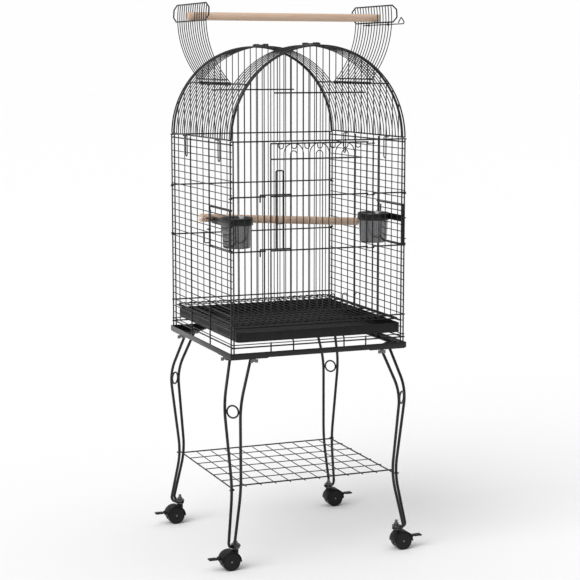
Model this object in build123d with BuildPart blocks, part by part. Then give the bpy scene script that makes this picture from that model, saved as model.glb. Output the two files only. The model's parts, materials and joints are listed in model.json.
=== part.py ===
from build123d import *
from math import asin, cos, degrees, pi, radians, sin, sqrt
import os

# Dome top parrot cage on a caster stand, in millimetres
# X runs left to right, Y from the front to the back and Z up, with the origin on the
# floor under the middle of the cage. Welded wires lie in two layers that just touch.

# Overall sizes of the cage body and its stand
cage_width = 500.0
cage_depth = 500.0
rim_height = 1151.0
bay_count = 27
stand_size = 515.0
stand_base = 578.0

# Wire diameters
bar_wire = 2.6
rail_wire = 4.0
latch_wire = 4.0
eye_wire = 3.0
weld_gap = 0.02
seat_gap = 0.1
play = 0.3

# Heights of the rails on the front and back panels
base_rail_height = 607.0
floor_rail_height = 615.0
slot_rail_height = 670.0
low_rail_height = 862.0
high_rail_height = 1006.0

# Side panels
side_rail_height = 1143.0
side_bay_count = 28
side_upright_offset = 78.5
feeder_first_bay = 13
feeder_bays = 6

# Stand frame and its corner plates
angle_height = 15.0
angle_wall = 2.5
plate_leg = 110.0
plate_thickness = 2.5
bolt_diameter = 6.0
bolt_spacing = 70.0
bolt_head_taper = 20.0
nut_radius = 5.0

# Legs: distance out along the diagonal, half spread and height of each bend
leg_rod = 8.0
leg_top_reach = 296.0
leg_top_spread = 31.0
leg_bulge_reach = 356.0
leg_bulge_height = 455.0
leg_ring_height = 436.0
leg_ring_diameter = 40.0
leg_ring_wire = 4.8
leg_waist_reach = 330.0
leg_waist_spread = 13.0
leg_foot_reach = 366.0
leg_foot_height = 64.0
leg_bulge_bend = 150.0
leg_waist_bend = 250.0
leg_foot_bend = 12.0

# Shelf
shelf_height = 216.0
shelf_columns = 12
shelf_rows = 7
shelf_row_reach = 205.0
shelf_hook_sweep = 160.0

# Casters
caster_reach = 340.0
caster_trail = 16.0
wheel_diameter = 50.0
wheel_width = 14.0
hub_radius = 18.0
web_thickness = 7.0
hood_wall = 2.4
hood_gap = 1.2
axle_diameter = 6.0
stem_diameter = 8.0
running_fit = 0.06
brake_pin = 3.0

# Tray and grate
tray_width = 476.0
tray_depth = 496.0
tray_height = 26.0
tray_wall = 2.0
tray_lip = 5.0
tray_overhang = 2.0
grate_wire = 2.2
grate_height = 658.0
grate_margin = 1.0
bracket_share = 0.8

# Front door and its lift latch
door_bays = 15
door_bottom_height = 694.0
door_top_height = 1144.9
door_second_height = 1104.0
small_arch_height = 1125.0
scroll_height = 738.0
latch_handle_centre = -117.0
latch_handle_width = 20.0
latch_handle_top = 1074.0
latch_reach = -168.0
latch_tip_drop = 20.0
latch_inner_end = -82.0

# Dome
dome_spring_height = 1153.0
hinge_angle = 35.5
door_tip_angle = 88.0
door_bar_angle = 77.6
door_open_angle = 79.0
dome_door_bays = 13
dome_door_shift = 2.8
tip_bulge = 26.0
bulge_low_share = 0.27
bulge_high_share = 0.73
hinge_bar_turn = 3.2
end_arch_wire = 5.0
hook_drop = 57.0

# Feeder doors, cups and perches
cup_radius = 41.5
cup_height = 82.0
cup_rim = 2.0
cup_wall = 1.0
cup_reach = 201.5
cup_position = -157.0
cup_base_height = 863.0
holder_band = 18.0
holder_wall = 2.4
spring_turns = 7
spring_wire = 1.2
spring_length = 22.0
perch_diameter = 22.0
top_perch_length = 570.0
perch_slot = 3.6
perch_chamfer = 1.0

# Layers of the welded panels, from the middle of the cage outwards
layer_step = (bar_wire + rail_wire) / 2 + weld_gap
stile_step = rail_wire + weld_gap
outer_layer = cage_depth / 2 + rail_wire / 2
bar_layer = outer_layer - layer_step
stile_layer = outer_layer - stile_step
pitch = cage_width / bay_count
post_x = cage_width / 2 + rail_wire / 2
front_stile_x = post_x - 2 * rail_wire
side_bar_layer = post_x - layer_step
frame_floor = stand_base + angle_wall + weld_gap
rail_reach = post_x + rail_wire / 2
door_stile_x = pitch * door_bays / 2
opening_stile_x = door_stile_x + pitch
side_pitch = (side_rail_height - floor_rail_height) / side_bay_count
side_bar_reach = stile_layer + rail_wire / 2 - play
eye_ring = rail_wire / 2 + play + eye_wire / 2

CORNERS = {
    "front_left": (-1, -1),
    "front_right": (1, -1),
    "back_left": (-1, 1),
    "back_right": (1, 1),
}
SIDES = {"left": -1, "right": 1}

os.makedirs("parts", exist_ok=True)


def save(builder, name):
    """Label the finished piece and write its STEP file."""
    builder.part.label = name
    export_step(builder.part, f"parts/{name}.step")


def straight_wire(start, end, diameter):
    """A straight round wire between two points, kept apart until it is added."""
    axis = Vector(*end) - Vector(*start)
    wire_plane = Plane(origin=start, z_dir=axis)
    return wire_plane.location * Cylinder(
        diameter / 2,
        axis.length,
        align=(Align.CENTER, Align.CENTER, Align.MIN),
        mode=Mode.PRIVATE,
    )


def bent_wire(points, diameter, bend, close=False):
    """A round wire through the points with rounded corners, kept apart until added."""
    with BuildLine() as run:
        FilletPolyline(*points, radius=bend, close=close)
    with BuildSketch(run.line ^ 0) as section:
        Circle(diameter / 2)
    return sweep(sections=section.sketch, path=run.line, mode=Mode.PRIVATE)


def arc_wire(centre, radius, start, sweep_angle, diameter, facing=(0, -1, 0)):
    """A wire bent to an arc about the centre, in the plane that the facing looks at."""
    place = Plane(origin=centre, x_dir=(1, 0, 0), z_dir=facing)
    ring = Torus(radius, diameter / 2, 0, 360, sweep_angle, align=None, mode=Mode.PRIVATE)
    return place.location * Rot(Z=start) * ring


def upright(x, y, low, high, diameter):
    return straight_wire((x, y, low), (x, y, high), diameter)


def rail_x(y, z, start, end, diameter):
    return straight_wire((start, y, z), (end, y, z), diameter)


def rail_y(x, z, start, end, diameter):
    return straight_wire((x, start, z), (x, end, z), diameter)


def bar_positions(count):
    """Places of evenly pitched bars, the row centred on the middle of the cage."""
    return [pitch * (index - count / 2) for index in range(count + 1)]


def diagonal(corner, reach, spread, height):
    """A point at a distance out along a corner's diagonal, and across it."""
    side_x, side_y = corner
    x = (side_x * reach - side_y * spread) / sqrt(2)
    y = (side_y * reach + side_x * spread) / sqrt(2)
    return (x, y, height)


# Stand frame: an angle iron ring with a flange that the cage stands on
with BuildPart() as stand_frame:
    with BuildSketch(Plane.XY.offset(stand_base)):
        Rectangle(stand_size, stand_size)
        Rectangle(
            stand_size - 2 * angle_wall, stand_size - 2 * angle_wall, mode=Mode.SUBTRACT
        )
    extrude(amount=angle_height)
    with BuildSketch(Plane.XY.offset(stand_base)):
        Rectangle(stand_size, stand_size)
        Rectangle(
            stand_size - 2 * angle_height, stand_size - 2 * angle_height, mode=Mode.SUBTRACT
        )
    extrude(amount=angle_wall)
    bolt_line = stand_size / 2 - angle_height / 2 - angle_wall / 2
    bolt_reach = stand_size / 2 - bolt_spacing
    bolt_places = []
    for side_x, side_y in CORNERS.values():
        bolt_places.append((side_x * bolt_reach, side_y * bolt_line))
        bolt_places.append((side_x * bolt_line, side_y * bolt_reach))
    with Locations(*[(x, y, stand_base) for x, y in bolt_places]):
        Cylinder(bolt_diameter / 2 + play, 4 * angle_wall, mode=Mode.SUBTRACT)
save(stand_frame, "stand_frame")

# Corner plates: gussets under the frame that the legs are welded to
plate_base = stand_base - weld_gap - plate_thickness
plate_corner = stand_size / 2 - angle_wall
with BuildPart() as corner_plates:
    for side_x, side_y in CORNERS.values():
        with BuildSketch(Plane.XY.offset(plate_base)) as gusset:
            with BuildLine():
                Polyline(
                    (side_x * plate_corner, side_y * plate_corner),
                    (side_x * (plate_corner - plate_leg), side_y * plate_corner),
                    (side_x * plate_corner, side_y * (plate_corner - plate_leg)),
                    close=True,
                )
            make_face()
            fillet(gusset.vertices(), angle_wall)
        extrude(amount=plate_thickness)
    with Locations(*[(x, y, plate_base) for x, y in bolt_places]):
        Cylinder(bolt_diameter / 2 + play, 4 * plate_thickness, mode=Mode.SUBTRACT)
    middle_hole_reach = plate_corner - plate_leg / 4
    with Locations(
        *[(sx * middle_hole_reach, sy * middle_hole_reach, plate_base) for sx, sy in CORNERS.values()]
    ):
        Cylinder(bolt_diameter, 4 * plate_thickness, mode=Mode.SUBTRACT)
save(corner_plates, "corner_plates")

# Leg bolts: a screw with a wing nut at each frame hole
nut_height = 5.0
head_height = 3.5
wing_span = 22.0
wing_height = 9.0
wing_thickness = 2.0
with BuildPart() as leg_bolts:
    shank_low = plate_base - nut_height - 2 * bolt_diameter / 3
    shank_high = frame_floor
    for x, y in bolt_places:
        with BuildSketch(Plane.XY.offset(shank_low)):
            with Locations((x, y)):
                Circle(bolt_diameter / 2)
        extrude(amount=shank_high - shank_low)
        with BuildSketch(Plane.XY.offset(shank_high)):
            with Locations((x, y)):
                Circle(bolt_diameter)
        extrude(amount=head_height, taper=bolt_head_taper)
        with BuildSketch(Plane.XY.offset(plate_base - weld_gap)):
            with Locations((x, y)):
                Circle(nut_radius)
        extrude(amount=-nut_height)
        wing_top = plate_base - weld_gap - nut_height / 2
        wing_middle = wing_top - wing_height / 2
        for side in SIDES.values():
            wing_x = x + side * (wing_span / 4 + bolt_diameter / 4)
            with Locations((wing_x, y, wing_middle)):
                Box(wing_span / 2 - bolt_diameter / 2, wing_thickness, wing_height)
save(leg_bolts, "leg_bolts")


def leg_rod_points(corner, side):
    """Bends of one of a leg's two rods, from the corner plate down to the caster."""
    foot_spread = (stem_diameter + leg_rod) / 2 + play
    ring_spread = (leg_ring_diameter + leg_rod) / 2
    return [
        diagonal(corner, leg_top_reach, side * leg_top_spread, stand_base + leg_rod),
        diagonal(corner, leg_bulge_reach, side * ring_spread, leg_bulge_height),
        diagonal(corner, leg_waist_reach, side * leg_waist_spread, shelf_height),
        diagonal(corner, leg_foot_reach, side * foot_spread, leg_foot_height),
        diagonal(corner, caster_reach - leg_rod, side * foot_spread, leg_foot_height),
    ]


def leg_rod_line(corner, side):
    with BuildLine() as run:
        FilletPolyline(
            *leg_rod_points(corner, side),
            radius=[leg_bulge_bend, leg_waist_bend, leg_foot_bend],
        )
    return run.line


def point_at_height(line, height):
    """The point of a falling line at a height, found by halving its length."""
    upper = 0.0
    lower = 1.0
    for _ in range(40):
        middle = (upper + lower) / 2
        if (line @ middle).Z > height:
            upper = middle
        else:
            lower = middle
    return line @ upper


# Legs: two bent rods with a ring between them at the bulge
for corner_name, corner in CORNERS.items():
    rod_lines = [leg_rod_line(corner, side) for side in (-1, 1)]
    ring_sides = [point_at_height(line, leg_ring_height) for line in rod_lines]
    ring_centre = (ring_sides[0] + ring_sides[1]) * 0.5
    ring_gap = (ring_sides[0] - ring_sides[1]).length / 2 - leg_rod / 2 - play / 2
    with BuildPart() as leg:
        rods = []
        for line in rod_lines:
            with BuildSketch(line ^ 0) as section:
                Circle(leg_rod / 2)
            rods.append(sweep(sections=section.sketch, path=line, mode=Mode.PRIVATE))
        add(rods)
        split(bisect_by=Plane.XY.offset(plate_base - weld_gap), keep=Keep.BOTTOM)
        ring_plane = Plane(
            origin=ring_centre, x_dir=(0, 0, 1), z_dir=(corner[0], corner[1], 0)
        )
        ring_middle = ring_gap - leg_ring_wire / 2
        add(
            ring_plane.location * Torus(ring_middle, leg_ring_wire / 2, mode=Mode.PRIVATE)
        )
    save(leg, f"leg_{corner_name}")

# Shelf: a wire grid whose edge wires hook round the leg rods
with BuildPart() as shelf_grid:
    shelf_wires = []
    hook_radius = (leg_rod + rail_wire) / 2 + play
    waist_points = {}
    for corner_name, corner in CORNERS.items():
        both = [point_at_height(leg_rod_line(corner, side), shelf_height) for side in (-1, 1)]
        waist_points[corner_name] = max(both, key=lambda point: abs(point.X))
    outer_rod = waist_points["back_right"]
    edge_x = outer_rod.X - hook_radius
    for side in SIDES.values():
        with BuildLine() as edge_run:
            front_end = (side * edge_x, -outer_rod.Y, shelf_height)
            back_end = (side * edge_x, outer_rod.Y, shelf_height)
            Line(front_end, back_end)
        with BuildSketch(edge_run.line ^ 0) as section:
            Circle(rail_wire / 2)
        shelf_wires.append(sweep(sections=section.sketch, path=edge_run.line, mode=Mode.PRIVATE))
        for end in SIDES.values():
            hook_centre = (side * outer_rod.X, end * outer_rod.Y, shelf_height)
            hook_joint = 180 if side > 0 else 0
            hook_start = hook_joint - shelf_hook_sweep if side == end else hook_joint
            shelf_wires.append(
                arc_wire(
                    hook_centre, hook_radius, hook_start, shelf_hook_sweep, rail_wire, (0, 0, 1)
                )
            )
    for column in range(1, shelf_columns - 1):
        x = -edge_x + 2 * edge_x * column / (shelf_columns - 1)
        reach = shelf_row_reach + rail_wire / 2
        shelf_wires.append(rail_y(x, shelf_height, -reach, reach, bar_wire))
    for row in range(shelf_rows):
        y = -shelf_row_reach + 2 * shelf_row_reach * row / (shelf_rows - 1)
        size = rail_wire if row in (0, shelf_rows - 1) else bar_wire
        row_height = shelf_height + (rail_wire + size) / 2 + weld_gap
        reach = edge_x + rail_wire / 2
        shelf_wires.append(rail_x(y, row_height, -reach, reach, size))
    add(shelf_wires)
save(shelf_grid, "shelf_grid")


def arch_height(x, radius):
    """Height of the dome's round end above a place across the cage."""
    return rim_height + sqrt(radius**2 - x**2)


# Front and back panels: upright bars under a round arch, welded to level rails
arch_radius = cage_width / 2
arch_start = degrees(asin((rail_wire + weld_gap) / arch_radius))
arch_cross_height = 1277.0
stub_places = (-door_stile_x, door_stile_x)


def arch_and_rails(side, split_at_door):
    """The arch, the cross wire in it and the level rails of one end panel."""
    outer = side * outer_layer
    wires = [
        arc_wire(
            (0, outer, rim_height), arch_radius, arch_start, 180 - 2 * arch_start, rail_wire
        ),
        rail_x(outer, rim_height, -rail_reach, rail_reach, rail_wire),
        rail_x(outer, slot_rail_height, -rail_reach, rail_reach, rail_wire),
        rail_x(outer, base_rail_height, -rail_reach, rail_reach, rail_wire),
        rail_x(outer, floor_rail_height, -rail_reach, rail_reach, bar_wire),
    ]
    cross_reach = 7 * pitch
    wires.append(rail_x(outer, arch_cross_height, -cross_reach, cross_reach, rail_wire))
    for height in (low_rail_height, high_rail_height):
        if split_at_door:
            inner_end = opening_stile_x - rail_wire / 2
            wires.append(rail_x(outer, height, -rail_reach, -inner_end, rail_wire))
            wires.append(rail_x(outer, height, inner_end, rail_reach, rail_wire))
        else:
            wires.append(rail_x(outer, height, -rail_reach, rail_reach, rail_wire))
    return wires


with BuildPart() as front_panel:
    front_wires = arch_and_rails(-1, True)
    for x in bar_positions(bay_count)[1:-1]:
        top = arch_height(x, arch_radius)
        in_doorway = abs(x) < opening_stile_x + pitch / 2
        low = rim_height - rail_wire / 2 if in_doorway else slot_rail_height - rail_wire / 2
        front_wires.append(upright(x, -bar_layer, low, top, bar_wire))
    for side in SIDES.values():
        front_wires.append(
            upright(side * front_stile_x, -stile_layer, frame_floor, rim_height, rail_wire)
        )
        opening_top = rim_height - rail_wire / 2 - weld_gap
        front_wires.append(
            upright(
                side * opening_stile_x,
                -stile_layer,
                slot_rail_height - rail_wire / 2,
                opening_top,
                rail_wire,
            )
        )
    stub_top = floor_rail_height + bar_wire / 2
    for x in stub_places:
        front_wires.append(upright(x, -stile_layer, frame_floor, stub_top, rail_wire))
    add(front_wires)
save(front_panel, "front_panel")

with BuildPart() as back_panel:
    back_wires = arch_and_rails(1, False)
    for x in bar_positions(bay_count)[1:-1]:
        low = base_rail_height - rail_wire / 2
        back_wires.append(upright(x, bar_layer, low, arch_height(x, arch_radius), bar_wire))
    for side in SIDES.values():
        back_wires.append(
            upright(side * front_stile_x, stile_layer, frame_floor, rim_height, rail_wire)
        )
    add(back_wires)
save(back_panel, "back_panel")


# Side panels: level bars on four uprights, with a doorway for the feeder
feeder_low = floor_rail_height + side_pitch * feeder_first_bay
feeder_high = feeder_low + side_pitch * feeder_bays
for side_name, side in SIDES.items():
    with BuildPart() as side_panel:
        side_wires = []
        for y in (-stile_layer, -side_upright_offset, side_upright_offset, stile_layer):
            side_wires.append(upright(side * post_x, y, frame_floor, rim_height, rail_wire))
        for bay in range(side_bay_count):
            z = floor_rail_height + side_pitch * bay
            in_feeder = feeder_first_bay < bay < feeder_first_bay + feeder_bays
            front_end = -side_upright_offset - rail_wire / 2 if in_feeder else -side_bar_reach
            side_wires.append(rail_y(side * side_bar_layer, z, front_end, side_bar_reach, bar_wire))
        top_layer = post_x - stile_step
        for z in (base_rail_height, side_rail_height):
            side_wires.append(
                rail_y(side * top_layer, z, -side_bar_reach, side_bar_reach, rail_wire)
            )
        add(side_wires)
    save(side_panel, f"{side_name}_panel")

# Corner clips: rings that tie the side uprights to the front and back rails
with BuildPart() as corner_clips:
    clips = []
    for side_x, side_y in CORNERS.values():
        for height, way in ((low_rail_height, 1), (high_rail_height, -1)):
            ring_z = height + way * ((rail_wire + eye_wire) / 2 + weld_gap)
            centre = (side_x * post_x, side_y * stile_layer, ring_z)
            clips.append(arc_wire(centre, eye_ring, 0, 360, eye_wire, (0, 0, 1)))
    add(clips)
save(corner_clips, "corner_clips")

# Dome: two half vaults that meet at the crown
dome_radius = cage_width / 2 - bar_wire / 2
dome_rail_radius = dome_radius + layer_step
door_half_width = pitch * dome_door_bays / 2
band_places = [y for y in bar_positions(bay_count)[1:-1] if abs(y) > door_half_width + pitch / 2]
door_places = [y for y in bar_positions(bay_count) if abs(y) < door_half_width + pitch / 2]
end_arch_y = bar_positions(bay_count)[1] - pitch / 2
end_arch_radius = dome_radius + (bar_wire - end_arch_wire) / 2
crown_gap = 0.5
half_vault = 90 - crown_gap
rail_start = degrees(asin(rail_wire / 2 / dome_rail_radius))


def vault_point(side, angle, radius):
    """A place on the closed vault, by its angle up from the springing."""
    x = side * radius * cos(radians(angle))
    return (x, dome_spring_height + radius * sin(radians(angle)))


def vault_rail(side, angle, start, end, diameter, radius):
    x, z = vault_point(side, angle, radius)
    return rail_y(x, z, start, end, diameter)


for side_name, side in SIDES.items():
    with BuildPart() as half_dome:
        vault = []
        first = 0 if side > 0 else 90 + crown_gap
        for y in band_places:
            centre = (0, y, dome_spring_height)
            vault.append(arc_wire(centre, dome_radius, first, half_vault, bar_wire))
        for y in (end_arch_y, -end_arch_y):
            centre = (0, y, dome_spring_height)
            vault.append(arc_wire(centre, end_arch_radius, first, half_vault, end_arch_wire))
        strip = hinge_angle + degrees(bar_wire / 2 / dome_radius)
        strip_first = 0 if side > 0 else 180 - strip
        for y in door_places:
            centre = (0, y, dome_spring_height)
            vault.append(arc_wire(centre, dome_radius, strip_first, strip, bar_wire))
        reach = abs(end_arch_y) + end_arch_wire / 2
        vault.append(vault_rail(side, rail_start, -reach, reach, rail_wire, dome_rail_radius))
        vault.append(vault_rail(side, hinge_angle, -reach, reach, rail_wire, dome_rail_radius))
        band_end = door_half_width + pitch - bar_wire / 2
        crown_angle = 90 - degrees((rail_wire / 2 + 2 * play) / dome_rail_radius)
        for end in SIDES.values():
            vault.append(
                vault_rail(
                    side, crown_angle, end * band_end, end * reach, rail_wire, dome_rail_radius
                )
            )
        add(vault)
    save(half_dome, f"dome_{side_name}")

# Crown clips: folded tabs over the two crown rails
clip_length = 14.0
clip_wall = 1.5
with BuildPart() as crown_clips:
    half_span = rail_wire + 3 * play
    crown_z = dome_spring_height + dome_rail_radius
    clip_top = crown_z + rail_wire / 2 + play
    for end in SIDES.values():
        for place in (door_half_width + 1.5 * pitch, abs(end_arch_y) - pitch):
            with BuildSketch(Plane.XZ.offset(-end * place)):
                with Locations((0, clip_top + clip_wall / 2)):
                    Rectangle(2 * (half_span + clip_wall), clip_wall)
                for side in SIDES.values():
                    with Locations((side * (half_span + clip_wall / 2), crown_z)):
                        Rectangle(clip_wall, 2 * (clip_top - crown_z) + clip_wall)
            extrude(amount=clip_length / 2, both=True)
save(crown_clips, "crown_clips")

# Dome hooks: long narrow U wires that hold the dome down on the side panels
hook_wire = 3.0
hook_width = 14.0
hook_places = (-138.0, 138.0)
with BuildPart() as dome_hooks:
    hooks = []
    hook_x = post_x - stile_step - (rail_wire + hook_wire) / 2 - play
    seat_x, seat_z = vault_point(1, rail_start, dome_rail_radius)
    hook_top = seat_z - (rail_wire + hook_wire) / 2 - seat_gap
    for side in SIDES.values():
        for place in hook_places:
            points = [
                (side * seat_x, place - hook_width / 2, hook_top),
                (side * hook_x, place - hook_width / 2, hook_top),
                (side * hook_x, place - hook_width / 2, rim_height - hook_drop),
                (side * hook_x, place + hook_width / 2, rim_height - hook_drop),
                (side * hook_x, place + hook_width / 2, hook_top),
                (side * seat_x, place + hook_width / 2, hook_top),
            ]
            bottom_bend = hook_width / 2 - weld_gap
            hooks.append(bent_wire(points, hook_wire, [hook_wire, bottom_bend, bottom_bend, hook_wire]))
    add(hooks)
save(dome_hooks, "dome_hooks")

# Tray runners: rods that stand on the stand frame and carry the tray and the grate
runner_reach = 4 * pitch
tray_base = 622.0
tray_top = tray_base + tray_height
runner_height = tray_base - rail_wire / 2 - play
grate_half_width = front_stile_x - rail_wire - grate_margin
grate_half_depth = bar_layer - bar_wire / 2 - rail_wire
ledge_height = grate_height - rail_wire - weld_gap
ledge_x = grate_half_width
bracket_height = ledge_height - rail_wire - weld_gap
with BuildPart() as tray_runners:
    runners = []
    for side in SIDES.values():
        points = [
            (side * runner_reach, stile_layer, frame_floor),
            (side * runner_reach, stile_layer, runner_height),
            (side * runner_reach, -stile_layer, runner_height),
            (side * runner_reach, -stile_layer, frame_floor),
        ]
        runners.append(bent_wire(points, rail_wire, 2 * rail_wire))
        reach = side_bar_reach
        runners.append(rail_y(side * ledge_x, ledge_height, -reach, reach, rail_wire))
        bracket_inner = tray_width / 2 + play
        bracket_outer = side_bar_layer - bar_wire / 2 - weld_gap
        for y in (-bracket_share * reach, 0, bracket_share * reach):
            runners.append(
                rail_x(y, bracket_height, side * bracket_inner, side * bracket_outer, rail_wire)
            )
    add(runners)
save(tray_runners, "tray_runners")

# Grate: a fine wire floor over the tray, in a bent frame
grate_bars = 25
grate_cross_bars = 12
with BuildPart() as grate:
    corner_points = [
        (-grate_half_width, -grate_half_depth, grate_height),
        (grate_half_width, -grate_half_depth, grate_height),
        (grate_half_width, grate_half_depth, grate_height),
        (-grate_half_width, grate_half_depth, grate_height),
    ]
    grate_wires = [bent_wire(corner_points, rail_wire, 3 * rail_wire, close=True)]
    bar_height = grate_height + (rail_wire + grate_wire) / 2 + weld_gap
    for bar in range(grate_bars):
        x = grate_half_width * (2 * (bar + 1) / (grate_bars + 1) - 1)
        grate_wires.append(
            rail_y(x, bar_height, -grate_half_depth, grate_half_depth, grate_wire)
        )
    cross_height = bar_height - grate_wire - weld_gap
    cross_reach = grate_half_width - rail_wire / 2 - weld_gap
    for bar in range(grate_cross_bars):
        y = grate_half_depth * (2 * (bar + 1) / (grate_cross_bars + 1) - 1)
        grate_wires.append(rail_x(y, cross_height, -cross_reach, cross_reach, grate_wire))
    add(grate_wires)
save(grate, "grate")

# Tray: a shallow plastic drawer with a pull lip at the front
tray_front = -outer_layer - rail_wire - tray_overhang
tray_middle = tray_front + tray_depth / 2
tray_corner = 10.0
with BuildPart() as tray:
    with BuildSketch(Plane.XY.offset(tray_base)):
        with Locations((0, tray_middle)):
            RectangleRounded(tray_width, tray_depth, tray_corner)
    extrude(amount=tray_height)
    with BuildSketch(Plane.XY.offset(tray_base + tray_wall)):
        with Locations((0, tray_middle)):
            RectangleRounded(
                tray_width - 2 * tray_wall, tray_depth - 2 * tray_wall, tray_corner - tray_wall
            )
    extrude(amount=tray_height, mode=Mode.SUBTRACT)
    with BuildSketch(Plane.XY.offset(tray_top - tray_wall)):
        with Locations((0, tray_front + tray_wall / 2 - tray_lip / 2)):
            Rectangle(tray_width - 4 * tray_corner, tray_lip + tray_wall)
    extrude(amount=tray_wall)
save(tray, "tray")

# Front door: an arched grille between two stiles, looped to the right doorway upright
door_rail_heights = (door_bottom_height, low_rail_height, high_rail_height, door_top_height)
eye_drop = (rail_wire + eye_wire) / 2 + 2 * play
ornament_places = [2 * pitch * step for step in range(-3, 4)]
ornament_width = 14.0
ornament_drop = 12.0
with BuildPart() as front_door:
    door_wires = []
    for z in door_rail_heights:
        reach = door_stile_x + rail_wire / 2
        door_wires.append(rail_x(-outer_layer, z, -reach, reach, rail_wire))
    second_end = door_stile_x - pitch + bar_wire / 2
    door_wires.append(
        rail_x(-outer_layer, door_second_height, -door_stile_x - rail_wire / 2, second_end, rail_wire)
    )
    door_low = door_bottom_height - rail_wire / 2
    for side in SIDES.values():
        stile_top = door_top_height + rail_wire / 2
        door_wires.append(
            upright(side * door_stile_x, -stile_layer, door_low, stile_top, rail_wire)
        )
        end_bar = side * (door_stile_x - pitch)
        door_wires.append(upright(end_bar, -bar_layer, door_low, stile_top, bar_wire))
    for middle in (-4 * pitch, 0, 4 * pitch):
        for half_span, top in ((1.5 * pitch, door_top_height), (0.5 * pitch, small_arch_height)):
            points = [
                (middle - half_span, -bar_layer, door_low),
                (middle - half_span, -bar_layer, top),
                (middle + half_span, -bar_layer, top),
                (middle + half_span, -bar_layer, door_low),
            ]
            door_wires.append(bent_wire(points, bar_wire, half_span - weld_gap))
    for x in ornament_places:
        drop_top = door_top_height - rail_wire / 2 - weld_gap
        drop_low = drop_top - ornament_drop
        stand_low = door_bottom_height + rail_wire / 2 + weld_gap
        for start, turn in ((drop_top, drop_low), (stand_low, scroll_height)):
            points = [
                (x - ornament_width / 2, -outer_layer, start),
                (x - ornament_width / 2, -outer_layer, turn),
                (x + ornament_width / 2, -outer_layer, turn),
                (x + ornament_width / 2, -outer_layer, start),
            ]
            door_wires.append(bent_wire(points, bar_wire, ornament_width / 2 - weld_gap))
    for rail_height in (door_top_height, high_rail_height, low_rail_height):
        z = rail_height - eye_drop
        ring_centre = (opening_stile_x, -stile_layer, z)
        door_wires.append(arc_wire(ring_centre, eye_ring, 0, 360, eye_wire, (0, 0, 1)))
        leg_end = opening_stile_x - eye_ring - eye_wire / 2 - weld_gap
        leg_start = door_stile_x + rail_wire / 2 + weld_gap
        door_wires.append(rail_x(-stile_layer, z, leg_start, leg_end, eye_wire))
    add(door_wires)
save(front_door, "front_door")

# Front latch: a looped handle with two bolts that drop behind the fixed rails
latch_layer = -outer_layer - (rail_wire + latch_wire) / 2 - weld_gap
latch_tip_y = -bar_layer + bar_wire / 2 + latch_wire / 2 + 2 * play
latch_left = latch_handle_centre - latch_handle_width / 2
latch_right = latch_handle_centre + latch_handle_width / 2
bolt_lift = (rail_wire + latch_wire) / 2 + play
with BuildPart() as front_latch:
    handle_low = low_rail_height + bolt_lift
    handle_points = [
        (latch_left, latch_layer, handle_low),
        (latch_left, latch_layer, latch_handle_top),
        (latch_right, latch_layer, latch_handle_top),
        (latch_right, latch_layer, handle_low),
    ]
    latch_parts = [bent_wire(handle_points, latch_wire, latch_wire)]
    for rail_height in (low_rail_height, high_rail_height):
        z = rail_height + bolt_lift
        bolt_points = [
            (latch_inner_end, -outer_layer, z),
            (latch_reach, -outer_layer, z),
            (latch_reach, latch_tip_y, z),
            (latch_reach, latch_tip_y, z - latch_tip_drop),
        ]
        latch_parts.append(bent_wire(bolt_points, latch_wire, latch_wire))
    grip_layer = latch_layer - (latch_wire + bar_wire) / 2 - weld_gap
    grip_height = (low_rail_height + high_rail_height) / 2
    latch_parts.append(rail_x(grip_layer, grip_height, latch_left, latch_right, bar_wire))
    add(latch_parts)
save(front_latch, "front_latch")


# Dome doors: curved grilles looped to the hinge rails, standing open
def opened(side, angle, radius):
    """A place on a dome door as it stands open, from its place on the closed vault."""
    hinge_x, hinge_z = vault_point(1, hinge_angle, dome_rail_radius)
    closed_x, closed_z = vault_point(1, angle, radius)
    across = closed_x - hinge_x
    above = closed_z - hinge_z
    turn = radians(door_open_angle)
    x = hinge_x + across * cos(turn) + above * sin(turn)
    z = hinge_z - across * sin(turn) + above * cos(turn)
    return (side * x, z)


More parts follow.
